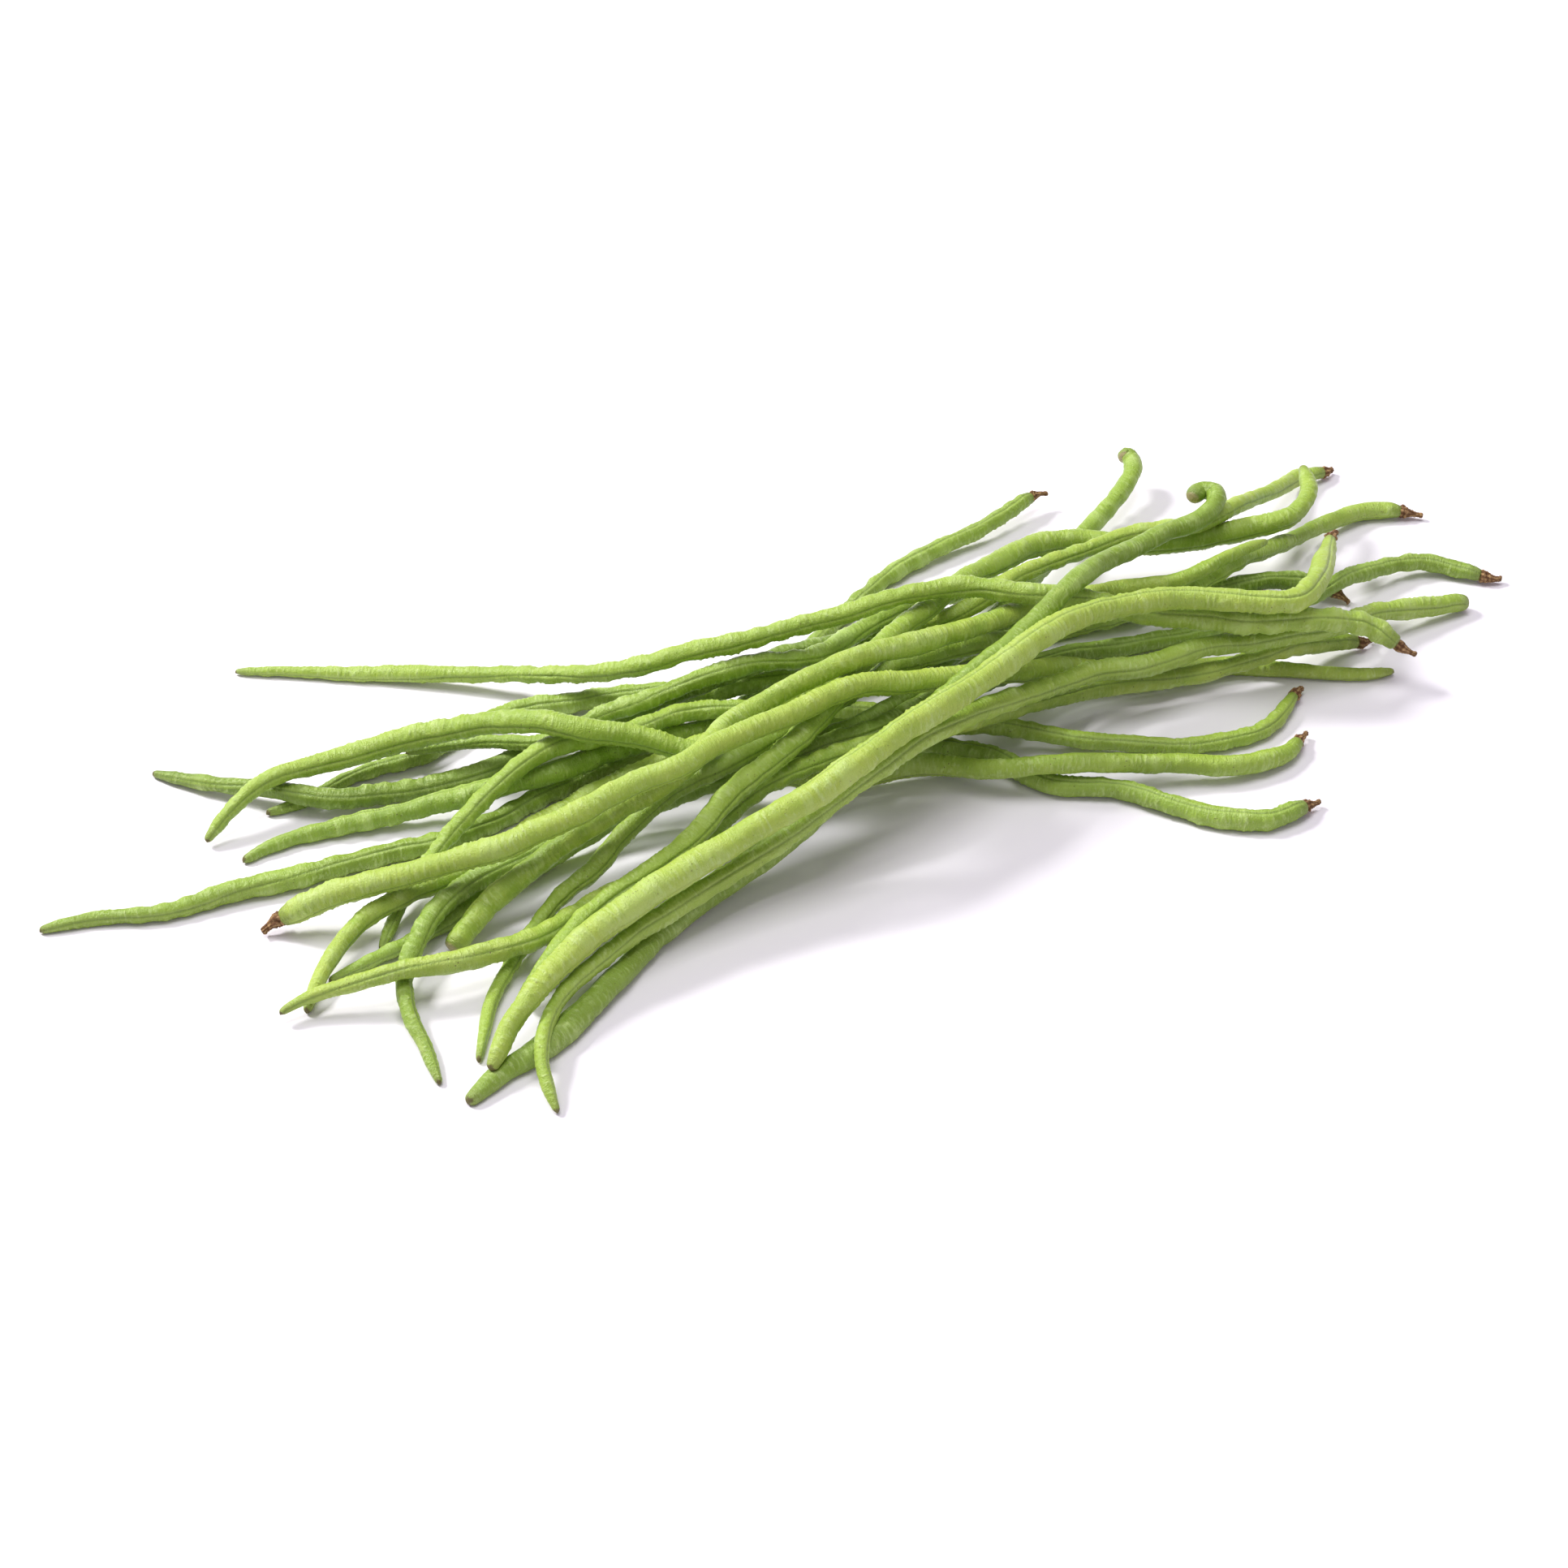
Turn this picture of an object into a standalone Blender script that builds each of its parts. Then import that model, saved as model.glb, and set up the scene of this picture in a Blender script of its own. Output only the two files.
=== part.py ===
"""A loose bunch of yardlong beans lying crossed on a flat surface.

Every pod is one solid named pod_NN and every dry stem stub is its own solid
named stem_NN, numbered like the pod that it grows from. Pods are numbered from
the bottom of the heap to the top. Lengths here are in millimetres and are turned
into metres when a mesh is made. +Z is up, the surface is z = 0, and the bunch
runs from the thin tips at low x to the stem ends at high x.
"""

import math

import bpy
import numpy as np

# ---------------------------------------------------------------- driving sizes
MM = 0.001
SIDES = 8                    # flats round a pod, one of them facing straight down
APOTHEM = 0.97               # centre to flat, as a share of the pod's own radius
STEP = 2.5                   # spacing of the points that carry the heights
RING_STEP = 12.0             # ring spacing on a straight run
RING_TURN = 0.46             # most turn of the centre line from ring to ring, radians
AIR = 0.5                    # clear space kept where one pod lies on another
TIP_TAPER = 120.0            # length over which a pod thins towards its tip
TIP_SHARE = 0.42             # radius just behind the tip, as a share of the full one
TIP_ROUND = 7.0              # length of the rounded end of the tip
NECK_ROUND = 9.0             # length of the shoulder at the stem end
BEND_RADIUS = 40.0           # tightest bend of a pod over the one that carries it
BEND_PASSES = 350            # how gently a pod comes down again between two others
STEM_GAP = 0.3               # clear space between a pod and its stem
STEM_SIDES = 6
DRY_BROWN = (0.11, 0.055, 0.025)
# Pairs of pods whose order changes between two places along x: between x0 and x1
# the pod with the lower number lies over the other one.
WEAVE = (
    (7, 9, -999, 999),
    (7, 13, 103, 184),
    (12, 14, -999, -60),
    (12, 15, 110, 999),
    (16, 18, 135, 999),
)

# Each route is a few points (x, y) seen from above, from the tip to the stem end.
# A lift is a height and a reach: how high that end stands clear, and how far the
# rise goes along the pod. A stem is its length, its thickness and its crook.
PODS = {
    1: {
        "radius": 4.1,
        "green": (0.19, 0.34, 0.04),
        "stem_lift": (5, 60),
        "stem": (6.5, 2.3, 0.3),
        "route": (
            (-255, -79), (-238, -74), (-216, -72), (-192, -62), (-166, -53), (-141, -42),
            (-114, -32), (-86, -10), (-54, 12), (-22, 35), (-8, 51), (15, 86), (41, 123),
            (60, 139), (81, 154), (99, 171),
        ),
    },
    2: {
        "radius": 4.1,
        "green": (0.21, 0.35, 0.04),
        "stem": (5.0, 2.2, 0.2),
        "route": (
            (-185, -17), (-175, -13), (-155, 2), (-130, 14), (-119, 25), (-98, 39), (-75, 43),
            (-50, 45), (-28, 41), (2, 50), (30, 59), (59, 71), (90, 82), (120, 94), (150, 106),
            (181, 112), (185, 117),
        ),
    },
    3: {
        "radius": 4.3,
        "green": (0.23, 0.38, 0.05),
        "stem": (6.5, 2.4, -0.1),
        "route": (
            (-190, -43), (-182, -37), (-168, -30), (-141, -23), (-113, -17), (-85, -9), (-64, 3),
            (-42, 14), (-11, 27), (18, 30), (30, 29), (54, 18), (76, 12), (95, -3), (122, -7),
            (141, -17), (156, -22), (173, -23), (186, -16),
        ),
    },
    4: {
        "radius": 4.0,
        "green": (0.17, 0.3, 0.035),
        "stem": (6.0, 1.9, 0.3),
        "route": (
            (-229, 5), (-211, -2), (-189, -9), (-165, -15), (-138, -10), (-110, 1), (-85, 16),
            (-57, 28), (-29, 36), (-12, 44), (7, 56), (32, 69), (60, 77), (88, 82), (115, 90),
            (145, 98), (176, 107), (204, 115), (214, 112),
        ),
    },
    5: {
        "radius": 4.0,
        "green": (0.21, 0.36, 0.045),
        "route": (
            (-137, 9), (-114, 11), (-82, 9), (-67, 18), (-47, 24), (-25, 32), (-10, 38),
            (11, 45), (31, 65), (54, 88), (71, 105), (90, 120),
        ),
    },
    6: {
        "radius": 4.3,
        "green": (0.24, 0.42, 0.065),
        "stem": (6.0, 2.0, 0.1),
        "route": (
            (-137, -89), (-132, -70), (-121, -48), (-110, -32), (-96, -17), (-85, -6), (-77, -1),
            (-58, 4), (-34, 19), (-9, 24), (12, 26), (35, 26), (58, 19), (77, 22), (113, 19),
            (146, 18), (163, 22), (174, 26), (182, 34), (189, 46),
        ),
    },
    7: {
        "radius": 4.2,
        "green": (0.28, 0.42, 0.045),
        "stem": (5.0, 2.1, -0.2),
        "route": (
            (-159, -119), (-155, -103), (-143, -82), (-134, -75), (-107, -52), (-87, -29),
            (-64, -10), (-39, 3), (-14, 12), (12, 27), (44, 58), (70, 71), (96, 95), (132, 120),
            (164, 130), (194, 166), (209, 188), (219, 194),
        ),
    },
    8: {
        "radius": 4.5,
        "green": (0.25, 0.43, 0.07),
        "stem": (7.0, 2.3, 0.15),
        "route": (
            (-204, -34), (-194, -23), (-179, -11), (-158, -2), (-135, 5), (-103, 4), (-89, -1),
            (-70, -5), (-51, -4), (-31, -5), (-9, -7), (24, -3), (50, 3), (80, -4), (113, -1),
            (138, 2), (165, 5), (180, 11), (185, 15), (189, 22),
        ),
    },
    9: {
        "radius": 4.4,
        "green": (0.23, 0.4, 0.06),
        "stem_lift": (12, 45),
        "route": (
            (-153, -104), (-138, -94), (-121, -81), (-100, -61), (-78, -42), (-55, -26),
            (-26, -18), (-1, -7), (25, 8), (46, 25), (64, 53), (84, 80), (102, 120), (125, 155),
            (140, 180), (141, 188), (139, 192), (138, 189),
        ),
    },
    10: {
        "radius": 4.2,
        "green": (0.16, 0.29, 0.03),
        "stem": (7.0, 2.2, -0.3),
        "route": (
            (-112, -152), (-127, -113), (-127, -103), (-123, -90), (-117, -78), (-110, -69),
            (-89, -54), (-65, -39), (-45, -32), (-22, -25), (1, -16), (15, -7), (32, 1),
            (64, 30), (99, 66), (132, 78), (159, 87), (181, 96), (205, 104), (222, 116),
            (240, 127), (254, 130), (272, 124),
        ),
    },
    11: {
        "radius": 4.3,
        "green": (0.25, 0.42, 0.06),
        "stem": (8.0, 2.5, 0.1),
        "route": (
            (-100, -142), (-97, -115), (-87, -87), (-75, -70), (-66, -63), (-57, -52),
            (-32, -33), (-21, -28), (7, 0), (36, 29), (64, 44), (84, 57), (105, 69), (123, 79),
            (156, 95), (186, 124), (219, 158), (234, 167), (246, 167),
        ),
    },
    12: {
        "radius": 4.2,
        "green": (0.27, 0.42, 0.05),
        "stem": (6.5, 2.6, -0.35),
        "route": (
            (-167, -123), (-158, -118), (-145, -115), (-117, -109), (-100, -102), (-84, -94),
            (-64, -73), (-36, -53), (-14, -35), (13, -19), (34, -8), (57, 6), (85, 22),
            (122, 43), (159, 54), (181, 63), (208, 77), (218, 80),
        ),
    },
    13: {
        "radius": 4.5,
        "green": (0.22, 0.4, 0.08),
        "tip_lift": (24, 50),
        "route": (
            (206, 167), (207, 155), (205, 147), (199, 138), (192, 134), (172, 131), (151, 128),
            (115, 124), (99, 118), (83, 101), (50, 56), (34, 33), (10, -10), (-4, -29),
            (-18, -42), (-31, -58), (-58, -79), (-68, -89), (-76, -101), (-87, -116),
        ),
    },
    14: {
        "radius": 4.5,
        "green": (0.27, 0.45, 0.07),
        "route": (
            (186, 117), (152, 90), (122, 80), (92, 64), (65, 41), (46, 27), (27, 15), (5, 2),
            (-18, -15), (-36, -40), (-59, -53), (-85, -66), (-101, -77), (-113, -91),
        ),
    },
    15: {
        "radius": 4.8,
        "green": (0.31, 0.48, 0.08),
        "stem": (7.0, 2.6, -0.2),
        "route": (
            (230, 65), (217, 62), (193, 64), (169, 66), (132, 56), (106, 53), (78, 32), (50, 14),
            (22, -2), (0, -19), (-23, -35), (-35, -46), (-47, -51), (-67, -60), (-88, -67),
            (-110, -70), (-133, -73), (-155, -76), (-171, -78),
        ),
    },
    16: {
        "radius": 4.4,
        "green": (0.24, 0.41, 0.06),
        "stem": (7.5, 2.4, -0.3),
        "route": (
            (-207, 65), (-171, 63), (-136, 60), (-101, 53), (-65, 40), (-42, 37), (-20, 39),
            (11, 47), (43, 55), (67, 61), (91, 58), (117, 62), (136, 59), (155, 61), (174, 59),
            (208, 64), (220, 65), (230, 61),
        ),
    },
    17: {
        "radius": 4.5,
        "green": (0.2, 0.38, 0.065),
        "stem_lift": (8, 40),
        "route": (
            (-102, -161), (-92, -149), (-77, -135), (-57, -106), (-36, -76), (-10, -54),
            (15, -35), (35, -18), (58, 6), (83, 31), (108, 60), (124, 84), (143, 105),
            (163, 122), (167, 130), (167, 136), (162, 138), (158, 133),
        ),
    },
    18: {
        "radius": 4.3,
        "green": (0.24, 0.43, 0.07),
        "route": (
            (-73, -165), (-78, -152), (-79, -140), (-76, -126), (-69, -113), (-44, -87),
            (-27, -74), (-11, -63), (11, -47), (34, -30), (57, -9), (70, 4), (91, 21), (114, 37),
            (133, 43), (156, 55), (178, 60), (201, 69), (227, 89), (264, 106),
        ),
    },
    19: {
        "radius": 4.9,
        "green": (0.3, 0.47, 0.075),
        "stem_lift": (14, 45),
        "stem": (8.5, 1.8, 0.15),
        "route": (
            (-95, -151), (-87, -131), (-71, -109), (-64, -101), (-45, -85), (-24, -70),
            (-2, -57), (22, -42), (50, -16), (72, 5), (91, 26), (111, 44), (130, 54), (148, 59),
            (181, 58), (190, 61), (195, 68), (201, 82), (212, 125),
        ),
    },
}


# -------------------------------------------------------------------- the routes
def smooth_route(points, step):
    """A centripetal Catmull-Rom curve through the points, cut into even steps."""
    knots = np.array(points, float)
    first = 2 * knots[0] - knots[1]
    last = 2 * knots[-1] - knots[-2]
    knots = np.vstack([first, knots, last])
    dense = []
    for i in range(1, len(knots) - 2):
        dense.extend(curve_span(knots[i - 1 : i + 3], 14))
    dense.append(knots[-2])
    dense = np.array(dense)
    along = lengths_along(dense)
    count = max(8, int(round(along[-1] / step)))
    even = np.linspace(0.0, along[-1], count + 1)
    x = np.interp(even, along, dense[:, 0])
    y = np.interp(even, along, dense[:, 1])
    return np.stack([x, y], axis=1), even


def curve_span(p, count):
    """Points of the curve between p[1] and p[2], p[2] left out."""
    t = [0.0]
    for a, b in zip(p[:-1], p[1:]):
        t.append(t[-1] + math.sqrt(np.linalg.norm(b - a)) + 1e-9)
    span = []
    for u in np.linspace(t[1], t[2], count, endpoint=False):
        a1 = blend(p[0], p[1], t[0], t[1], u)
        a2 = blend(p[1], p[2], t[1], t[2], u)
        a3 = blend(p[2], p[3], t[2], t[3], u)
        b1 = blend(a1, a2, t[0], t[2], u)
        b2 = blend(a2, a3, t[1], t[3], u)
        span.append(blend(b1, b2, t[1], t[2], u))
    return span


def blend(a, b, ta, tb, u):
    """The point at u on the line from a at ta to b at tb."""
    return ((tb - u) * a + (u - ta) * b) / (tb - ta)


def lengths_along(points):
    """Distance from the first point to each point, along the line."""
    steps = np.linalg.norm(np.diff(points, axis=0), axis=1)
    return np.concatenate([[0.0], np.cumsum(steps)])


def pod_radius(full, along):
    """Radius from the tip to the stem end of a pod whose full radius is given."""
    from_stem = along[-1] - along
    taper = np.sin(np.clip(along / TIP_TAPER, 0.0, 1.0) * math.pi / 2) ** 0.9
    radius = full * (TIP_SHARE + (1.0 - TIP_SHARE) * taper)
    radius = radius * np.sqrt(np.clip((along + 1.2) / TIP_ROUND, 0.0, 1.0))
    radius = radius * np.sqrt(np.clip((from_stem + 2.0) / NECK_ROUND, 0.0, 1.0))
    return np.maximum(radius, 0.8)


# ------------------------------------------------------------------- the heights
def lowest_heights(radius, along, tip_lift, stem_lift):
    """Height of the centre line of a pod that lies on the surface alone."""
    low = radius * APOTHEM
    for distance, lift in ((along, tip_lift), (along[-1] - along, stem_lift)):
        if lift:
            low = low + lift[0] * np.clip(1.0 - distance / lift[1], 0.0, 1.0) ** 1.6
    return low


def lies_over(upper, lower, x):
    """True at each x where the pod upper lies over the pod lower."""
    over = np.full(len(x), upper > lower)
    for first, second, x0, x1 in WEAVE:
        if {first, second} == {upper, lower}:
            over = over ^ ((x > x0) & (x < x1))
    return over


def contacts(plans, radii):
    """For each pair of pods that cross: the points, the rise needed, and who is up."""
    found = []
    names = sorted(plans)
    for i, a in enumerate(names):
        for b in names[i + 1 :]:
            apart = ((plans[a][:, None] - plans[b][None]) ** 2).sum(axis=2)
            reach = (radii[a][:, None] + radii[b][None] + AIR) ** 2
            at_a, at_b = np.nonzero(apart < reach)
            if len(at_a):
                rise = np.sqrt(reach[at_a, at_b] - apart[at_a, at_b])
                a_up = lies_over(a, b, plans[a][at_a, 0])
                found.append((a, b, at_a, at_b, rise, a_up))
    return found


def heap_heights(plans, radii, lowest):
    """Heights of all the centre lines, each pod resting on those under it."""
    heights = {name: low.copy() for name, low in lowest.items()}
    crossings = contacts(plans, radii)
    for _ in range(10):
        moved = 0.0
        for name in sorted(plans):
            need = lowest[name].copy()
            for a, b, at_a, at_b, rise, a_up in crossings:
                if name == a:
                    np.maximum.at(need, at_a[a_up], (heights[b][at_b] + rise)[a_up])
                elif name == b:
                    down = ~a_up
                    np.maximum.at(need, at_b[down], (heights[a][at_a] + rise)[down])
            settled = bridge(need)
            moved = max(moved, float(np.abs(settled - heights[name]).max()))
            heights[name] = settled
        if moved < 0.02:
            break
    return heights


def bridge(need):
    """The line of a springy pod that nowhere dips under the height it needs."""
    place = np.arange(len(need)) * STEP
    away = (place[:, None] - place[None]) ** 2 / (2.0 * BEND_RADIUS)
    line = (need[None] - away).max(axis=1)
    for _ in range(BEND_PASSES):
        even = line.copy()
        even[1:-1] = 0.5 * line[1:-1] + 0.25 * (line[:-2] + line[2:])
        even[0] = min(line[1] + 1.0, 0.5 * line[0] + 0.5 * (2 * line[1] - line[2]))
        even[-1] = min(line[-2] + 1.0, 0.5 * line[-1] + 0.5 * (2 * line[-2] - line[-3]))
        line = np.maximum(even, line)
    return line


# -------------------------------------------------------------------- the solids
def ring_stations(line):
    """Where the rings stand along a line: evenly, and closer where it turns."""
    ahead = np.diff(line, axis=0)
    ahead = ahead / np.linalg.norm(ahead, axis=1)[:, None]
    cosine = np.clip((ahead[:-1] * ahead[1:]).sum(axis=1), -1.0, 1.0)
    turn = np.concatenate([[0.0], np.arccos(cosine), [0.0]])
    along = lengths_along(line)
    share = along / RING_STEP + np.cumsum(turn) / RING_TURN
    count = int(math.ceil(share[-1]))
    return np.interp(np.linspace(0.0, share[-1], count + 1), share, along)


def frame_on(line, along, at):
    """Point, side and up direction of a line at a distance along it."""
    point = np.array([np.interp(at, along, line[:, k]) for k in range(3)])
    before = max(at - 2.0, 0.0)
    after = min(at + 2.0, along[-1])
    a = np.array([np.interp(before, along, line[:, k]) for k in range(3)])
    b = np.array([np.interp(after, along, line[:, k]) for k in range(3)])
    ahead = (b - a) / np.linalg.norm(b - a)
    side = np.cross(ahead, (0.0, 0.0, 1.0))
    side = side / np.linalg.norm(side)
    return point, side, np.cross(side, ahead), ahead


def tube(rings, first, last):
    """Points and faces of a closed tube through rings, with a point at each end."""
    sides = len(rings[0])
    points = [first]
    for ring in rings:
        points.extend(ring)
    points.append(last)
    end = len(points) - 1
    faces = []
    for k in range(sides):
        faces.append((0, 1 + (k + 1) % sides, 1 + k))
    for j in range(len(rings) - 1):
        base = 1 + j * sides
        for k in range(sides):
            a = base + k
            b = base + (k + 1) % sides
            faces.append((a, b, b + sides, a + sides))
    base = end - sides
    for k in range(sides):
        faces.append((base + k, base + (k + 1) % sides, end))
    return points, faces


def add_solid(name, points, faces, smooth):
    """A mesh object in metres, from points in millimetres, facing outwards."""
    mesh = bpy.data.meshes.new(name)
    scaled = [tuple(float(v) * MM for v in point) for point in points]
    mesh.from_pydata(scaled, [], faces)
    mesh.update()
    if signed_volume(scaled, faces) < 0:
        mesh.flip_normals()
    mesh.polygons.foreach_set("use_smooth", [smooth] * len(mesh.polygons))
    solid = bpy.data.objects.new(name, mesh)
    bpy.context.collection.objects.link(solid)
    return solid


def signed_volume(points, faces):
    """Six times the volume inside the faces, below zero when they face inwards."""
    total = 0.0
    for face in faces:
        a = np.array(points[face[0]])
        for i in range(1, len(face) - 1):
            b = np.array(points[face[i]])
            c = np.array(points[face[i + 1]])
            total += float(np.dot(a, np.cross(b, c)))
    return total


def pod_solid(name, line, along, radius):
    """One pod: flat-sided rings on its centre line, drawn in to a point at each end."""
    rings = []
    for at in ring_stations(line):
        point, side, up, _ = frame_on(line, along, at)
        reach = float(np.interp(at, along, radius)) * APOTHEM / math.cos(math.pi / SIDES)
        ring = []
        for k in range(SIDES):
            angle = 2 * math.pi * (k + 0.5) / SIDES
            corner = point + reach * (math.sin(angle) * side - math.cos(angle) * up)
            corner[2] = max(corner[2], 0.0)
            ring.append(corner)
        rings.append(ring)
    first_ahead = frame_on(line, along, 0.0)[3]
    last_ahead = frame_on(line, along, along[-1])[3]
    first = line[0] - first_ahead * 0.5 * radius[0]
    last = line[-1] + last_ahead * 0.25 * radius[-1]
    first[2] = max(first[2], 0.2)
    points, faces = tube(rings, first, last)
    return add_solid(name, points, faces, True), last, last_ahead


def stem_solid(name, start, ahead, length, thick, bend):
    """A dry stem stub: a flared cup against the pod, then a thin crooked stalk."""
    flat = np.cross(ahead, (0.0, 0.0, 1.0))
    side = flat / np.linalg.norm(flat)
    up = np.cross(side, ahead)
    profile = ((0.0, 0.62), (0.14, 0.95), (0.34, 0.8), (0.5, 0.5), (0.78, 0.42), (1.0, 0.55))
    rings = []
    for along, share in profile:
        centre = start + ahead * (STEM_GAP + 0.3 + along * length)
        centre = centre + side * bend * along * along * length
        centre[2] = max(centre[2], share * thick + 0.05)
        ring = []
        for k in range(STEM_SIDES):
            angle = 2 * math.pi * (k + 0.5) / STEM_SIDES
            ring.append(centre + share * thick * (math.cos(angle) * side + math.sin(angle) * up))
        rings.append(ring)
    first = start + ahead * STEM_GAP
    last_middle = sum(rings[-1]) / STEM_SIDES
    points, faces = tube(rings, first, last_middle + ahead * 0.25)
    return add_solid(name, points, faces, False)


# ----------------------------------------------------------------- the materials
def plain_material(name, colour, roughness):
    """A matte Principled material."""
    material = bpy.data.materials.new(name)
    material.use_nodes = True
    shader = material.node_tree.nodes["Principled BSDF"]
    shader.inputs["Base Color"].default_value = (*colour, 1.0)
    shader.inputs["Roughness"].default_value = roughness
    shader.inputs["Metallic"].default_value = 0.0
    material.diffuse_color = (*colour, 1.0)
    return material


def paint(solid, name, colour, roughness):
    """Gives a solid a material of its own."""
    solid.data.materials.append(plain_material(name, colour, roughness))


# --------------------------------------------------------------------- the bunch
def clear_scene():
    """Takes every object out of the scene."""
    for item in list(bpy.data.objects):
        bpy.data.objects.remove(item, do_unlink=True)


def with_stem(route, stem):
    """The route carried straight on by the length of the stem."""
    end = np.array(route[-1], float)
    ahead = end - np.array(route[-2], float)
    ahead = ahead / np.linalg.norm(ahead)
    return tuple(route) + (tuple(end + ahead * (stem[0] + 1.0)),)


def centre_lines():
    """The centre line and radii of every pod, all of them resting on each other."""
    plans = {}
    pod_ends = {}
    radii = {}
    lowest = {}
    for number, pod in PODS.items():
        stem = pod.get("stem")
        route = with_stem(pod["route"], stem) if stem else pod["route"]
        plans[number], along = smooth_route(route, STEP)
        past = stem[0] + 1.0 if stem else 0.0
        pod_ends[number] = int(round((along[-1] - past) / STEP)) + 1
        own = along[: pod_ends[number]]
        radius = pod_radius(pod["radius"], own)
        beyond = len(along) - len(own)
        radii[number] = np.concatenate([radius, np.full(beyond, stem[1] if stem else 0.0)])
        low = lowest_heights(radius, own, pod.get("tip_lift"), pod.get("stem_lift"))
        lowest[number] = np.concatenate([low, np.full(beyond, low[-1])])
    heights = heap_heights(plans, radii, lowest)
    lines = {}
    for number, plan in plans.items():
        line = np.column_stack([plan, heights[number]])
        lines[number] = line[: pod_ends[number]]
        radii[number] = radii[number][: pod_ends[number]]
    return lines, radii


def centre_bunch(solids):
    """Moves the meshes so that the middle of their box is over the origin."""
    corners = []
    for solid in solids:
        places = np.empty(len(solid.data.vertices) * 3)
        solid.data.vertices.foreach_get("co", places)
        corners.append(places.reshape(-1, 3))
    everything = np.concatenate(corners)
    middle = (everything.min(axis=0) + everything.max(axis=0)) / 2
    for solid, places in zip(solids, corners):
        moved = places - (middle[0], middle[1], 0.0)
        solid.data.vertices.foreach_set("co", moved.ravel())
        solid.data.update()


def main():
    solids = []
    clear_scene()
    lines, radii = centre_lines()
    for number, pod in PODS.items():
        line = lines[number]
        along = lengths_along(line)
        name = f"pod_{number:02d}"
        solid, end, ahead = pod_solid(name, line, along, radii[number])
        paint(solid, f"green_{number:02d}", pod["green"], 0.45)
        solids.append(solid)
        if "stem" in pod:
            length, thick, bend = pod["stem"]
            stub = stem_solid(f"stem_{number:02d}", end, ahead, length, thick, bend)
            paint(stub, f"brown_{number:02d}", DRY_BROWN, 0.85)
            solids.append(stub)
    centre_bunch(solids)


main()
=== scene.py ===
"""The finished look of a loose bunch of yardlong beans.

Each pod is modelled straight, with its seed swellings, its two seams and the fine
wrinkles across its skin, and is then bent along the middle line of the solid that
it stands for. Each dry stem stub is drawn out of a disc, folded and set on the end
of its pod. A pod's own features are given in millimetres, from its tip towards its
stem end, and angles round it start at its main seam.
"""

import math

import bmesh
import bpy
import numpy as np
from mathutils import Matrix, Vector

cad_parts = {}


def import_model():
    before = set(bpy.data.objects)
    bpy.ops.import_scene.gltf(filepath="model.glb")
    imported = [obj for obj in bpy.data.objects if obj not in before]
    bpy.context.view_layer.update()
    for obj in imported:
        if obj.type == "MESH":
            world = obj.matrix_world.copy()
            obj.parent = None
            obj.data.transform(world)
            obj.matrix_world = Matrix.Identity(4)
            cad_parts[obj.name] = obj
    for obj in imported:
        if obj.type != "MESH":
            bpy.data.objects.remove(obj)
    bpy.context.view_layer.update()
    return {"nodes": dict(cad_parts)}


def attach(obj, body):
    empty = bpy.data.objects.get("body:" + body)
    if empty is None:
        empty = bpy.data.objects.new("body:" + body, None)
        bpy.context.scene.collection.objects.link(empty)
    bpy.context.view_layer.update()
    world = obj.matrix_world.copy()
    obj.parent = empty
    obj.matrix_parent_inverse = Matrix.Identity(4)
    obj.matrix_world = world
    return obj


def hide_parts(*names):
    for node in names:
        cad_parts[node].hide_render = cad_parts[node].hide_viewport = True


MM = 0.001
FULL_TURN = 2.0 * math.pi

# ------------------------------------------------------------------ pod modelling
COLUMNS = 32                 # lengthwise edges round a pod
SEAM_CROWDING = 0.34         # how far they are moved towards the seams, in radians
RING_GAP = 0.55              # spacing of the rings of edges along a pod
CUTS_EACH = 11               # cuts in each of the first coarse lengths of a pod
END_PACKED = 4.0             # length at each end where the rings lie closer
END_CROWDING = 1.6           # a power: one would leave them evenly spaced
THINNEST = 0.12              # least radius of a pod, without its relief
THINNEST_SKIN = 0.08         # and with it
SAME_POINT = 1e-6            # points of a solid that lie closer are one, in metres
LEVEL = 1e-7                 # an edge that rises less is level, in metres

# The solids that the finished pieces stand for.
SOLID_SIDES = 8              # flats round a pod's solid
STUB_SOLID_SIDES = 6         # flats round a stub's solid
SOLID_FLATS = 0.97           # how far out its flats lie, as a share of the pod's radius
SOLID_CORNERS = SOLID_FLATS / math.cos(math.pi / SOLID_SIDES)

# A pod that is slimmer than its solid lies lower, so that it still rests on what is
# under it.
MOST_LOWERED = 1.0
NEAR_STEM = 60.0             # over this last length it is lowered less
MOST_LOWERED_NEAR_STEM = 0.6

# ------------------------------------------------------------------- green shades
FRESH = (0.370, 0.520, 0.066)
LIME = (0.430, 0.560, 0.078)
LEAF = (0.300, 0.450, 0.048)
MOSS = (0.262, 0.405, 0.046)
DEEP = (0.225, 0.345, 0.030)
SHADE = (0.155, 0.250, 0.018)

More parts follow.
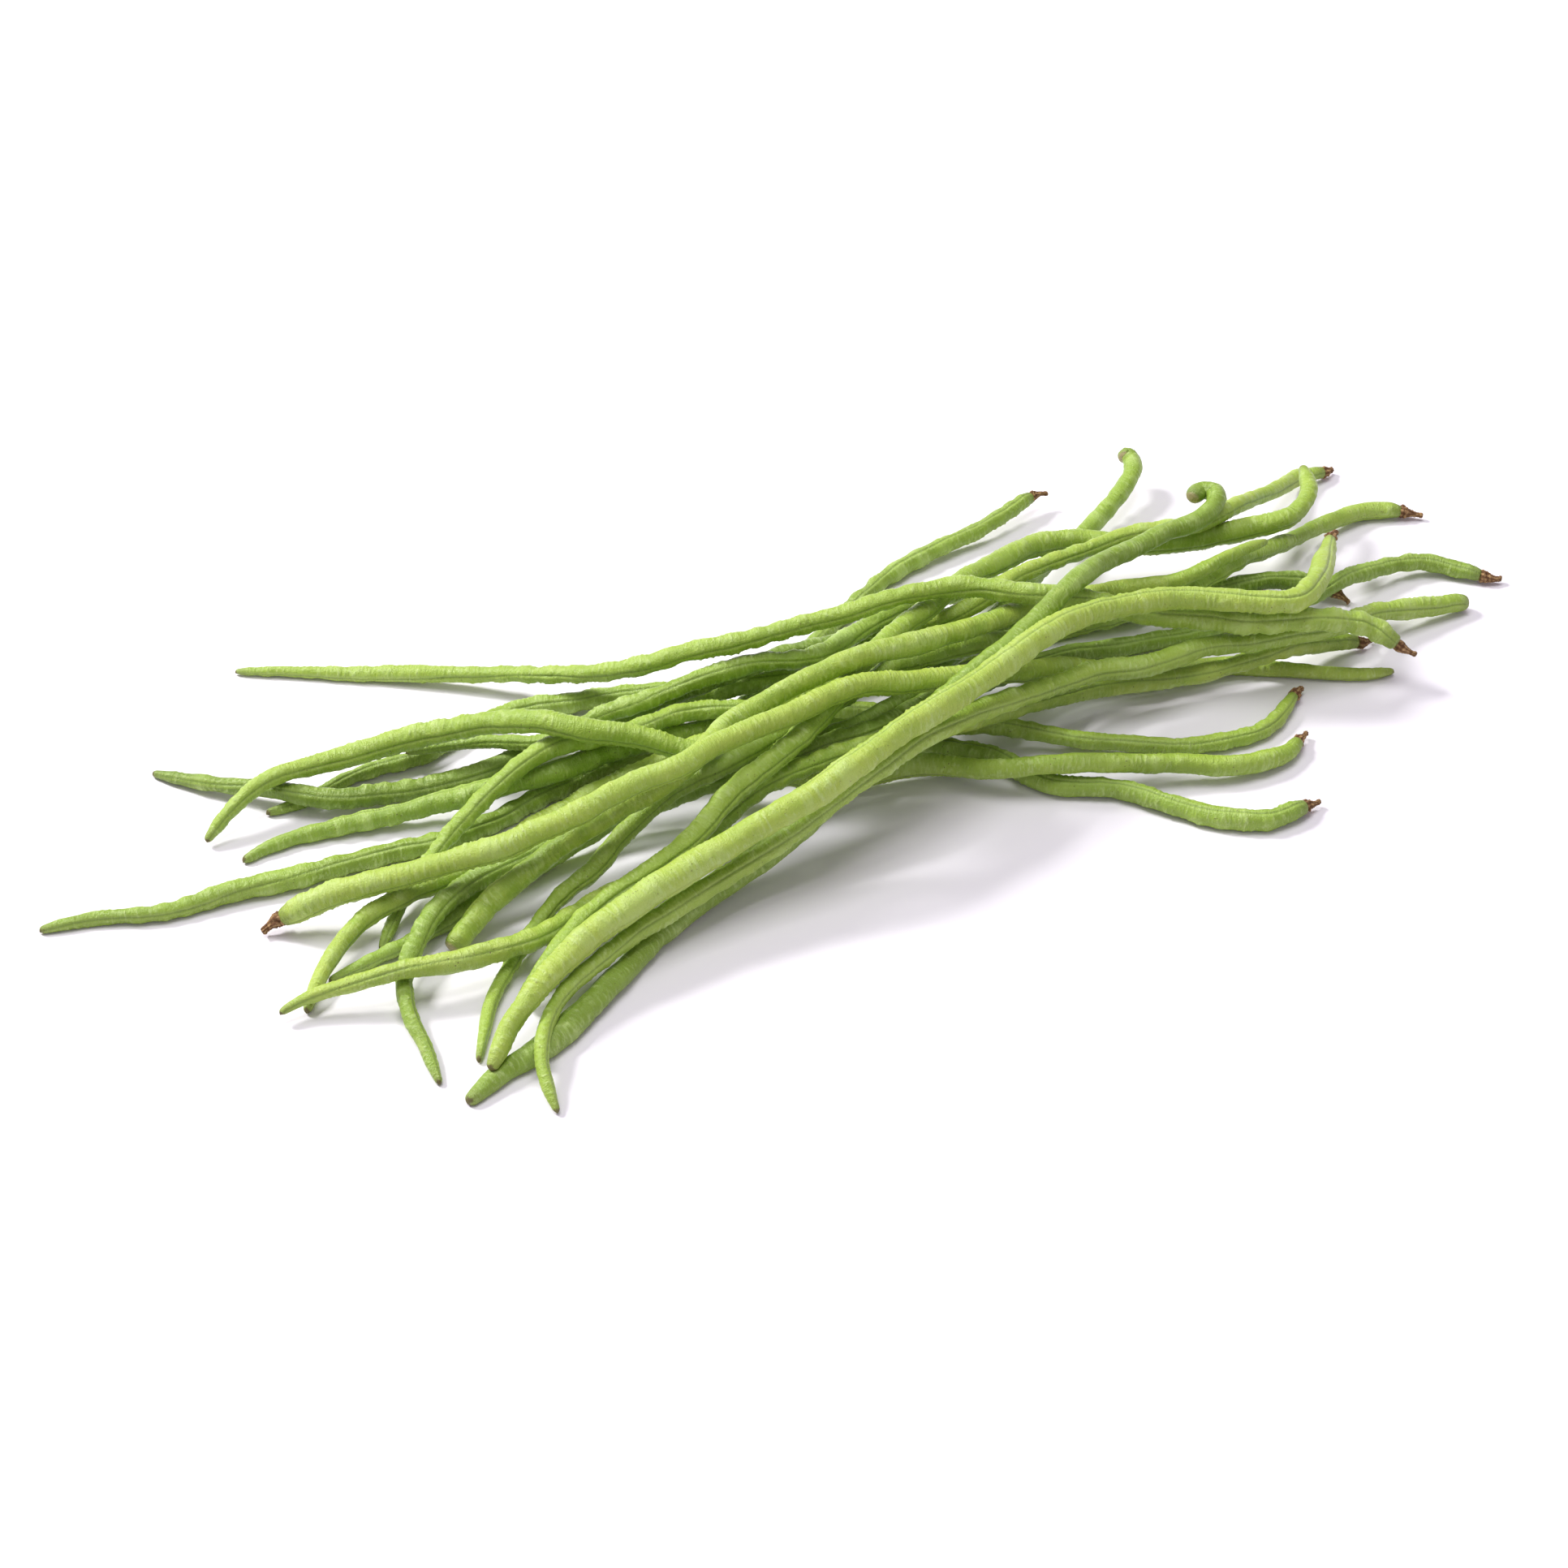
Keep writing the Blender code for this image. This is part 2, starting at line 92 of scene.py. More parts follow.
# One line a pod: upper shade, lower shade, where the main seam starts (degrees round
# from straight down), how far it turns over the length of the pod, how deep the seed
# swellings are, how strong the wrinkles are, and how speckled the skin is.
# The lower shade also stands for painted shade in a pod's hollows and between its fine
# creases.
PODS = {
    1: (LEAF, DEEP, 238, -60, 0.40, 0.9, 0.5),
    2: (LEAF, DEEP, 200, 20, 0.40, 1.1, 0.5),
    3: (LEAF, MOSS, 150, 42, 0.40, 1.1, 0.8),
    4: (DEEP, SHADE, 225, 0, 0.40, 0.9, 0.4),
    5: (LEAF, DEEP, 230, 0, 0.40, 1.2, 0.5),
    6: (FRESH, LEAF, 212, 8, 0.34, 1.0, 0.7),
    7: (LIME, LEAF, 285, -50, 0.44, 1.1, 0.6),
    8: (FRESH, LEAF, 250, 85, 0.30, 1.2, 0.8),
    9: (LEAF, MOSS, 240, 60, 0.38, 0.8, 0.6),
    10: (MOSS, DEEP, 232, -27, 0.42, 1.1, 0.5),
    11: (FRESH, LEAF, 230, 75, 0.44, 0.9, 0.8),
    12: (LIME, LEAF, 228, 4, 0.38, 0.9, 0.9),
    13: (FRESH, LEAF, 60, 72, 0.26, 0.9, 0.5),
    14: (LIME, LEAF, 40, 0, 0.24, 1.2, 0.4),
    15: (LIME, FRESH, 48, 14, 0.26, 1.3, 0.4),
    16: (FRESH, LEAF, 268, -30, 0.42, 1.3, 0.5),
    17: (MOSS, DEEP, 305, 15, 0.32, 0.7, 0.4),
    18: (FRESH, LEAF, 236, 20, 0.32, 1.1, 0.5),
    19: (LIME, FRESH, 92, 128, 0.24, 1.1, 0.6),
}

# How thick a pod is near its tip, in its middle and near its stem end, as shares of
# its solid's thickness, and where along it those places are.
FULLNESS_AT = (0.12, 0.5, 0.88)
FULLNESS = {
    1: (1.04, 0.89, 0.86), 2: (0.97, 0.93, 0.90), 3: (1.06, 0.91, 0.92),
    4: (1.06, 0.95, 0.90), 5: (0.92, 0.92, 0.92), 6: (0.96, 0.86, 0.78),
    7: (1.06, 0.92, 0.80), 8: (1.05, 0.94, 0.85), 9: (0.90, 0.88, 0.85),
    10: (0.97, 0.92, 0.82), 11: (0.84, 0.90, 0.84), 12: (0.97, 0.93, 0.88),
    13: (1.10, 0.96, 0.92), 14: (0.90, 0.93, 0.95), 15: (0.84, 0.93, 0.94),
    16: (0.76, 0.86, 1.00), 17: (1.08, 0.96, 0.84), 18: (0.88, 0.95, 0.92),
    19: (1.06, 0.98, 0.92),
}
RELIEF_ROOM = 0.18           # taken off the radius, because the relief adds to it

# Over what length a pod thins towards its tip, and its share of full thickness there.
PLAIN_TIP = (85.0, 0.53)
TIPS = {
    12: (70.0, 0.52), 13: (45.0, 0.58), 15: (70.0, 0.52), 16: (70.0, 0.54),
    17: (45.0, 0.68), 19: (65.0, 0.60),
}
TIP_FULL = 0.97              # share of full thickness where the thinning starts
TIP_CURVE = 0.85             # below one, the thinning is quickest at the tip
NOSE_LENGTH = 1.8            # rounded end of the tip
NOSE_SHARE = 0.58            # thickness of that end, as a share of the tip's
POINT_LENGTH = 12.0          # over this length the tip narrows to it

# How far from the stem end a pod starts to narrow, and its share of full thickness
# there.
PLAIN_NECK = (12.0, 0.54)
NECKS = {
    1: (14.0, 0.62), 3: (12.0, 0.60), 6: (20.0, 0.52), 7: (18.0, 0.62), 8: (18.0, 0.52),
    13: (34.0, 0.42), 19: (52.0, 0.42),
}
BLUNT_LENGTH = 14.0          # a stem end with no stub is evened out over this length
BLUNT_NECK = (4.5, 0.30)     # and narrows only at its very end
END_ROUNDING = 0.9           # length of the rounded edge at the stem end

# ------------------------------------------------------------------- pod's relief
SEED_GAP = 10.5              # spacing of the seeds along a pod
SEED_HEIGHT = 1.15           # of a swelling, before each pod's own share
SEAM_SHARE_OF_SEEDS = 0.35   # how much of a swelling is left beside the seams
FOLD_HEIGHT = 0.31           # of a wrinkle, before each pod's own share
FOLD_SPREAD = 1.6            # the larger, the nearer wrinkles come to the seams
FOLD_MOST = 1.2              # wrinkles grow no stronger than this
FULL_RELIEF = 4.3            # radius below which a pod has less relief
PLAIN_END = 6.0              # length at each end where the relief fades out
END_RELIEF = 0.2             # what is left of it at the very ends
STEADY_END = 20.0            # length at each end where a pod strays less from its line

# Slow changes along a pod: how far they go, the length over which they change, and
# which draw of chance shapes them.
SEED_STRAY = (0.9, 33.0, 1)      # of the seeds along the pod, in spacings
SEED_UNEVEN = (0.45, 24.0, 2)    # of a swelling's height
SEED_USUAL = 0.55                # around this share of it
BODY_UNEVEN = (0.38, 21.0, 3)    # of the thickness
SEAM_STRAY = (0.32, 55.0, 5)     # of the seams round the pod, in radians
SEAM_QUIVER = (0.10, 14.0, 6)    # and a quicker one
SEAM_UNEVEN = (0.45, 18.0, 7)    # of how deep the seams are
SEAM_USUAL = 0.75                # around this share of that depth
SIDE_STRAY = (0.42, 15.0, 21)    # of the pod from its middle line, sideways
RISE_STRAY = (0.30, 17.0, 22)    # and upwards
SPARE_CELLS = 4                  # values drawn beyond the last place
ALMOST_ONE = 0.999               # how far into its last cell a place may be

# Patches of skin that stand off: how far, how long each is, how many go round the pod,
# and which draw of chance places them.
BUMPS = ((0.30, 8.0, 5, 4), (0.15, 3.2, 9, 8), (0.045, 1.5, 17, 9))

# Two sets of wrinkles across a pod: how far they slant, their spacing, the patches in
# which they stray from it, how narrow they are, how strong they are everywhere, and
# the patches in which they are stronger or weaker.
WRINKLES = (
    (0.9, 2.5, (1.0, 5.5, 6, 11), 3.2, 0.40, (1.0, 7.0, 9, 13)),
    (-0.9, 3.9, (1.1, 5.0, 7, 12), 2.6, 0.35, (1.0, 6.0, 8, 14)),
)

# Depth of the hollow along a seam, height of its two lips, and depth of its groove.
MAIN_SEAM = (0.24, 0.20, 0.26)
BACK_SEAM = (0.08, 0.10, 0.10)
HOLLOW_WIDTH = 2.1
LIP_PLACE = 0.98             # from the middle of the seam
LIP_WIDTH = 0.50
GROOVE_WIDTH = 0.52


# ---------------------------------------------------------------- reading the frame
def deselect_all():
    """Leaves nothing selected, so that an operator acts on one piece only."""
    if bpy.context.mode != "OBJECT":
        bpy.ops.object.mode_set(mode="OBJECT")
    bpy.ops.object.select_all(action="DESELECT")


def rows_from(end):
    """Rows of points that are each one edge further from the end point."""
    seen = {end}
    row = [end]
    rows = []
    while row:
        rows.append(row)
        following = []
        for vert in row:
            for edge in vert.link_edges:
                other = edge.other_vert(vert)
                if other not in seen:
                    seen.add(other)
                    following.append(other)
        row = following
    return rows


def rings_of(solid, sides):
    """The points of a tube-like solid as rows of rings, from one end to the other."""
    work = bmesh.new()
    work.from_mesh(solid.data)
    bmesh.ops.remove_doubles(work, verts=work.verts, dist=SAME_POINT)
    ends = [v for v in work.verts if len(v.link_edges) == sides]
    for end in ends:
        rows = rows_from(end)
        inner = all(len(row) == sides for row in rows[1:-1])
        if inner and len(rows[-1]) == 1:
            break
    found = [np.array([v.co[:] for v in row]) for row in rows]
    work.free()
    return found


def middles_and_reaches(solid, sides):
    """Middle point of each ring of a solid, and how far out its corners are."""
    rows = rings_of(solid, sides)
    middles = np.array([row.mean(axis=0) for row in rows])
    reaches = np.zeros(len(rows))
    for i, row in enumerate(rows[1:-1], start=1):
        reaches[i] = np.linalg.norm(row - middles[i], axis=1).max()
    return middles, reaches


def pod_line(solid):
    """Middle points and radii of a pod's solid, from its tip to its stem end."""
    middles, reaches = middles_and_reaches(solid, SOLID_SIDES)
    radii = reaches / SOLID_CORNERS
    # The tip is the thinner end. The rings right at both ends are left out.
    if radii[2:6].mean() > radii[-6:-2].mean():
        middles = middles[::-1]
        radii = radii[::-1]
    return middles, radii


def stub_line(solid, pod_end):
    """Middle points and radii of a stub's solid, from its pod outwards."""
    middles, radii = middles_and_reaches(solid, STUB_SOLID_SIDES)
    near = np.linalg.norm(middles[0] - pod_end)
    far = np.linalg.norm(middles[-1] - pod_end)
    if near > far:
        middles = middles[::-1]
        radii = radii[::-1]
    return middles, radii


def lengths_along(points):
    """Distance of each point from the first, along the line through them."""
    steps = np.linalg.norm(np.diff(points, axis=0), axis=1)
    return np.concatenate([[0.0], np.cumsum(steps)])


def corners_of(mesh):
    """The places of a mesh's points, one row each."""
    corners = np.empty(len(mesh.vertices) * 3)
    mesh.vertices.foreach_get("co", corners)
    return corners.reshape(-1, 3)


def move_corners(mesh, placed):
    """Puts a mesh's points at new places."""
    mesh.vertices.foreach_set("co", placed.ravel())
    mesh.update()


def store_value(mesh, name, values):
    """Keeps one number for each point of a mesh."""
    layer = mesh.attributes.new(name, "FLOAT", "POINT")
    layer.data.foreach_set("value", values.astype(np.float32))


def store_vector(mesh, name, values):
    """Keeps three numbers for each point of a mesh."""
    layer = mesh.attributes.new(name, "FLOAT_VECTOR", "POINT")
    layer.data.foreach_set("vector", values.astype(np.float32).ravel())


# ------------------------------------------------------------------- gentle changes
def eased(part):
    """Goes from 0 to 1 with a soft start and a soft end."""
    return part * part * (3.0 - 2.0 * part)


def rounded(part):
    """Goes from 0 to 1 like a quarter circle that starts steeply."""
    return np.sqrt(1.0 - (1.0 - np.clip(part, 0.0, 1.0)) ** 2)


def near_ends(places, length, reach):
    """0 at both ends of a pod, and 1 further from them than the reach."""
    return np.clip(np.minimum(places, length - places) / reach, 0.0, 1.0)


def cells_at(places, cell):
    """How many values to draw, each place's cell, and its eased way through it."""
    count = int(places.max() / cell) + SPARE_CELLS
    at = np.clip(places / cell, 0.0, count - SPARE_CELLS + ALMOST_ONE)
    cells = np.floor(at).astype(int)
    return count, cells, eased(at - cells)


def drift(places, cell, seed):
    """A smooth wandering value between -1 and 1 that changes from cell to cell."""
    count, first, ease = cells_at(places, cell)
    values = np.random.default_rng(seed).uniform(-1.0, 1.0, count)
    return values[first] * (1.0 - ease) + values[first + 1] * ease


def patches(places, angles, cell, wedges, seed):
    """The same over a skin: it changes along the pod and round it, and closes up."""
    count, row, down = cells_at(places, cell)
    values = np.random.default_rng(seed).uniform(-1.0, 1.0, (count, wedges))
    turn = (angles / FULL_TURN % 1.0) * wedges
    wedge = np.floor(turn).astype(int) % wedges
    across = eased(turn - np.floor(turn))
    after = (wedge + 1) % wedges
    near = values[row, wedge] * (1.0 - across) + values[row, after] * across
    far = values[row + 1, wedge] * (1.0 - across) + values[row + 1, after] * across
    return near * (1.0 - down) + far * down


def slow(places, change, seed):
    """A slow change given as how far it goes, over what length, and a draw."""
    amount, cell, draw = change
    return amount * drift(places, cell, seed + draw)


def patchy(places, angles, change, seed):
    """Patches given as how far they go, their length, how many go round, and a draw."""
    amount, cell, wedges, draw = change
    return amount * patches(places, angles, cell, wedges, seed + draw)


# ----------------------------------------------------------------------- the pods
def straight_tube(name, length, rings):
    """A closed tube along Z with evenly spaced rings of edges."""
    deselect_all()
    bpy.ops.mesh.primitive_cylinder_add(
        vertices=COLUMNS, radius=1.0, depth=length, end_fill_type="NOTHING"
    )
    tube = bpy.context.active_object
    tube.name = name
    tube.data.name = name
    bpy.ops.object.mode_set(mode="EDIT")
    bpy.ops.mesh.select_all(action="SELECT")
    bpy.ops.mesh.select_mode(type="EDGE")
    coarse = max(2, round(rings / (CUTS_EACH + 1)))
    for cuts in (coarse - 1, CUTS_EACH):
        bpy.ops.mesh.select_all(action="DESELECT")
        work = bmesh.from_edit_mesh(tube.data)
        for edge in work.edges:
            low, high = edge.verts
            edge.select_set(abs(low.co.z - high.co.z) > LEVEL)
        bmesh.update_edit_mesh(tube.data)
        bpy.ops.mesh.subdivide(number_cuts=cuts)
    bpy.ops.mesh.select_all(action="DESELECT")
    bpy.ops.mesh.select_mode(type="EDGE")
    bpy.ops.mesh.select_non_manifold()
    bpy.ops.mesh.fill_holes(sides=0)
    bpy.ops.mesh.select_all(action="SELECT")
    bpy.ops.mesh.normals_make_consistent(inside=False)
    bpy.ops.object.mode_set(mode="OBJECT")
    return tube


def pack_ends(places, length):
    """Moves evenly spaced places closer together at both ends of a pod."""
    near = np.clip(places / END_PACKED, 0.0, 1.0) ** END_CROWDING * END_PACKED
    far = np.clip((length - places) / END_PACKED, 0.0, 1.0) ** END_CROWDING * END_PACKED
    packed = np.where(places < END_PACKED, near, places)
    return np.where(length - places < END_PACKED, length - far, packed)


def pod_thickness(number, places, along, radii):
    """Radius of a pod: its solid's, with a narrow tip and a rounded stem end."""
    length = along[-1]
    left = length - places
    full = float(np.median(radii))
    radius = np.interp(places, along, radii)
    reach, share = TIPS.get(number, PLAIN_TIP)
    tip = np.clip(places / reach, 0.0, 1.0)
    radius = np.maximum(radius, full * (share + (TIP_FULL - share) * tip ** TIP_CURVE))
    if number in STUBS or number in NECKS:
        narrowing, share = NECKS.get(number, PLAIN_NECK)
        evened = narrowing
    else:
        narrowing, share = BLUNT_NECK
        evened = BLUNT_LENGTH
    neck = share + (1.0 - share) * rounded(left / narrowing)
    radius = np.where(left < evened, full * neck, radius)
    radius = radius * np.interp(places / length, FULLNESS_AT, FULLNESS[number])
    radius = radius - RELIEF_ROOM
    point = 1.0 - (1.0 - np.clip(places / POINT_LENGTH, 0.0, 1.0)) ** 2
    nose = rounded(places / NOSE_LENGTH) * (NOSE_SHARE + (1.0 - NOSE_SHARE) * point)
    return np.maximum(radius * nose * rounded(left / END_ROUNDING), THINNEST)


def seam_turn(places, length, start, turn, seed):
    """Angle of the main seam along a pod, in radians."""
    steady = math.radians(start) + math.radians(turn) * places / length
    stray = slow(places, SEAM_STRAY, seed)
    return steady + stray + slow(places, SEAM_QUIVER, seed)


def across_from(angles, seam, radius):
    """Distance round the skin from a seam, less than zero on one side of it."""
    return np.arctan2(np.sin(angles - seam), np.cos(angles - seam)) * radius


def seam_relief(across, hollow, raised, cut):
    """Height of the skin beside a seam: a shallow hollow, two lips and a groove."""
    valley = hollow * np.exp(-((across / HOLLOW_WIDTH) ** 2))
    lips = raised * np.exp(-(((np.abs(across) - LIP_PLACE) / LIP_WIDTH) ** 2))
    groove = cut * np.exp(-((across / GROOVE_WIDTH) ** 2))
    return lips - valley - groove


def wrinkles(places, angles, seed):
    """Narrow folds that run across the pod in short uneven strokes, from 0 up."""
    total = 0.0
    for slant, spacing, stray, narrow, steady, strength in WRINKLES:
        place = (places + slant * np.cos(angles)) / spacing
        wave = place + patchy(places, angles, stray, seed)
        stroke = (0.5 + 0.5 * np.cos(FULL_TURN * wave)) ** narrow
        strong = steady + patchy(places, angles, strength, seed)
        total = total + stroke * np.clip(strong, 0.0, FOLD_MOST)
    return total


def skin_height(places, angles, radius, length, seed, swell, fold):
    """How far the skin stands off a plain round pod, and its wrinkles by themselves."""
    cheek = np.abs(np.sin(angles))
    beat = places / SEED_GAP + slow(places, SEED_STRAY, seed)
    seeds = np.cos(FULL_TURN * beat) * (SEED_USUAL + slow(places, SEED_UNEVEN, seed))
    beside = SEAM_SHARE_OF_SEEDS + (1.0 - SEAM_SHARE_OF_SEEDS) * cheek
    height = SEED_HEIGHT * swell * seeds * beside
    height = height + slow(places, BODY_UNEVEN, seed)
    for bump in BUMPS:
        height = height + patchy(places, angles, bump, seed)
    keen = SEAM_USUAL + slow(places, SEAM_UNEVEN, seed)
    for seam, relief in ((0.0, MAIN_SEAM), (math.pi, BACK_SEAM)):
        across = across_from(angles, seam, radius)
        height = height + keen * seam_relief(across, *relief)
    slim = np.clip(radius / FULL_RELIEF, 0.0, 1.0)
    ends = near_ends(places, length, PLAIN_END)
    fade = np.clip(cheek * FOLD_SPREAD, 0.0, 1.0)
    folds = wrinkles(places, angles, seed) * fade * ends
    height = height * slim * (END_RELIEF + (1.0 - END_RELIEF) * ends)
    return height + FOLD_HEIGHT * fold * slim * folds, folds


def shape_pod(tube, number, along, radii):
    """Gives the straight tube the thickness, seeds, seams and wrinkles of one pod."""
    _, _, start, turn, swell, fold, _ = PODS[number]
    seed = 100 * number
    length = along[-1]
    mesh = tube.data
    corners = corners_of(mesh)
    share = np.clip(corners[:, 2] / (length * MM) + 0.5, 0.0, 1.0)
    places = pack_ends(share * length, length)
    even = np.arctan2(corners[:, 1], corners[:, 0])
    angles = even - SEAM_CROWDING * np.sin(2.0 * even)
    radius = pod_thickness(number, places, along, radii)
    height, folds = skin_height(places, angles, radius, length, seed, swell, fold)
    reach = np.maximum(radius + height, THINNEST_SKIN)
    spared = SOLID_FLATS * np.interp(places, along, radii) - radius
    little = np.minimum(spared, MOST_LOWERED_NEAR_STEM)
    spared = np.where(places > length - NEAR_STEM, little, spared)
    lowered = np.clip(spared, 0.0, MOST_LOWERED)
    facing = angles + seam_turn(places, length, start, turn, seed)
    loose = near_ends(places, length, STEADY_END)
    sideways = loose * slow(places, SIDE_STRAY, seed)
    upwards = loose * slow(places, RISE_STRAY, seed)
    placed = np.column_stack(
        [
            places,
            reach * np.sin(facing) + sideways,
            -reach * np.cos(facing) + upwards - lowered,
        ]
    )
    move_corners(mesh, placed * MM)
    straight = np.column_stack([places, radius * np.cos(angles), radius * np.sin(angles)])
    store_vector(mesh, "straight", straight)
    store_value(mesh, "seam_main", np.abs(across_from(angles, 0.0, radius)))
    store_value(mesh, "seam_back", np.abs(across_from(angles, math.pi, radius)))
    store_value(mesh, "from_tip", places)
    store_value(mesh, "from_stem", length - places)
    # The relief and the folds also place painted shade and painted highlights in the skin's
    # colour.
    store_value(mesh, "relief", height)
    store_value(mesh, "folds", folds)


def bending_line(name, middles):
    """A smooth curve through the middle points of a pod's solid."""
    deselect_all()
    bpy.ops.curve.primitive_bezier_curve_add(radius=1.0)
    line = bpy.context.active_object
    line.name = name
    line.data.dimensions = "3D"
    line.data.twist_mode = "Z_UP"
    line.data.resolution_u = 12
    spline = line.data.splines[0]
    spline.bezier_points.add(len(middles) - len(spline.bezier_points))
    for point, middle in zip(spline.bezier_points, middles):
        point.co = middle
        point.handle_left_type = "AUTO"
        point.handle_right_type = "AUTO"
        point.radius = 1.0
    bpy.context.view_layer.update()
    return line


def curve_length(line):
    """Length of a curve in millimetres, as a bent piece will follow it."""
    return sum(spline.calc_length() for spline in line.data.splines) / MM


def bend(tube, line):
    """Bends a straight piece along a curve and leaves it a plain mesh."""
    deselect_all()
    tube.select_set(True)
    bpy.context.view_layer.objects.active = tube
    curl = tube.modifiers.new("along its line", "CURVE")
    curl.object = line
    curl.deform_axis = "POS_X"
    bpy.ops.object.modifier_apply(modifier=curl.name)
    bpy.data.objects.remove(line, do_unlink=True)


def rest_on_table(piece):
    """Flattens whatever would sink under the surface that the bunch lies on."""
    corners = corners_of(piece.data)
    corners[:, 2] = np.maximum(corners[:, 2], 0.0)
    move_corners(piece.data, corners)


def complete(piece, node, finish):
    """Shades a piece smooth, gives it its finish, hangs it under the root and hides the
    solid that it stands for.
    """
    piece.data.polygons.foreach_set("use_smooth", [True] * len(piece.data.polygons))
    piece.data.materials.clear()
    piece.data.materials.append(finish)
    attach(piece, "root")
    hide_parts(node)


def make_pod(number, solid, finish):
    """One finished pod in the place of its solid."""
    middles, radii = pod_line(solid)
    line = bending_line(f"line_{number:02d}", middles)
    length = curve_length(line)
    along = lengths_along(middles) / MM
    along = along * length / along[-1]
    radii = radii / MM
    radii[0] = radii[1]
    radii[-1] = radii[-2]
    pod = straight_tube(f"bean_{number:02d}", length * MM, int(length / RING_GAP))
    shape_pod(pod, number, along, radii)
    bend(pod, line)
    rest_on_table(pod)
    complete(pod, f"pod_{number:02d}", finish)


# ------------------------------------------------------------------- the stem stubs
# Outline of a straight stub: how far along it is, and how thick it is there.
STUB_SHAPES = {
    "slim stub": [
        (0.00, 0.80), (0.04, 0.96), (0.10, 1.06), (0.17, 0.98), (0.24, 1.00),
        (0.33, 0.84), (0.43, 0.68), (0.54, 0.56), (0.66, 0.44), (0.78, 0.38),
        (0.87, 0.42), (0.94, 0.50), (1.00, 0.34),
    ],
    "broad stub": [
        (0.00, 0.84), (0.05, 1.02), (0.12, 1.14), (0.19, 1.02), (0.26, 1.08),
        (0.36, 0.96), (0.46, 0.80), (0.57, 0.66), (0.68, 0.58), (0.79, 0.50),
        (0.88, 0.54), (0.95, 0.60), (1.00, 0.44),
    ],
}
STUB_SIDES = 20
STUB_HEIGHT = 4.0            # of the straight shape, which is then drawn to its length
CUT_RIM = 0.10               # width of the rim round the cut end
CUT_HOLLOW = -0.05           # and how far the cut sinks inside it

# Which shape each stub has, how many lobes its dry cap shows, and how far it turns.
STUBS = {
    1: ("slim stub", 4, 10),
    2: ("broad stub", 5, 50),
    3: ("slim stub", 5, 90),
    4: ("slim stub", 4, 140),
    6: ("broad stub", 4, 20),
    7: ("broad stub", 5, 200),
    8: ("slim stub", 5, 75),
    10: ("broad stub", 4, 260),
    11: ("slim stub", 4, 300),
    12: ("slim stub", 5, 160),
    15: ("broad stub", 5, 330),
    16: ("slim stub", 4, 230),
    19: ("broad stub", 5, 110),
}
STUB_LEAST = 2.15            # least radius of a stub where it is thickest
STUB_SEAT = 1.3              # how far before its solid it starts, over its pod's end

# Relief of a stub, with heights as shares of its radius.
CAP_PLACE = 0.13             # middle and spread of the dry cap, as shares of the length
LOBE_HEIGHT = 0.16
RIB_HEIGHT = 0.10
RIBS = 7.0
RIB_TWIST = 5.0              # turn of the ribs over the length, in radians
RING_HEIGHT = 0.05
RINGS = 9.0
CAP_HIDES = 0.5              # share of the ribs that the cap hides
DRY_FOLDS = ((0.11, 1.1, 7, 1), (0.07, 0.45, 11, 2))
FOLDS_FOR = 12.0             # length of a stub that these folds are given for

# A stub's slow change from its line: how far it goes, over what share of its length,
# and which draw of chance shapes it. From a quarter of its length on it is full.
CROOKED = (0.16, 0.34, 3)
CROOKED_FROM = 0.25


def model_stub(name):
    """A straight stub: a cap of dry leaves, then a short stalk."""
    steps = STUB_SHAPES[name]
    deselect_all()
    bpy.ops.mesh.primitive_circle_add(
        vertices=STUB_SIDES, radius=steps[0][1], fill_type="NGON"
    )
    stub = bpy.context.active_object
    stub.name = name
    stub.data.name = name
    bpy.ops.object.mode_set(mode="EDIT")
    bpy.ops.mesh.select_all(action="SELECT")
    for (low, before), (high, after) in zip(steps, steps[1:]):
        rise = STUB_HEIGHT * (high - low)
        bpy.ops.mesh.extrude_region_move(
            TRANSFORM_OT_translate={"value": (0.0, 0.0, rise)}
        )
        grow = after / before
        bpy.ops.transform.resize(
            value=(grow, grow, 1.0), center_override=(0.0, 0.0, STUB_HEIGHT * high)
        )
    bpy.ops.mesh.inset(thickness=CUT_RIM, depth=CUT_HOLLOW)
    bpy.ops.mesh.select_all(action="SELECT")
    bpy.ops.mesh.normals_make_consistent(inside=False)
    bpy.ops.object.mode_set(mode="OBJECT")
    smooth = stub.modifiers.new("rounded", "SUBSURF")
    smooth.levels = 2
    smooth.render_levels = 2
    bpy.ops.object.modifier_apply(modifier=smooth.name)
    return stub


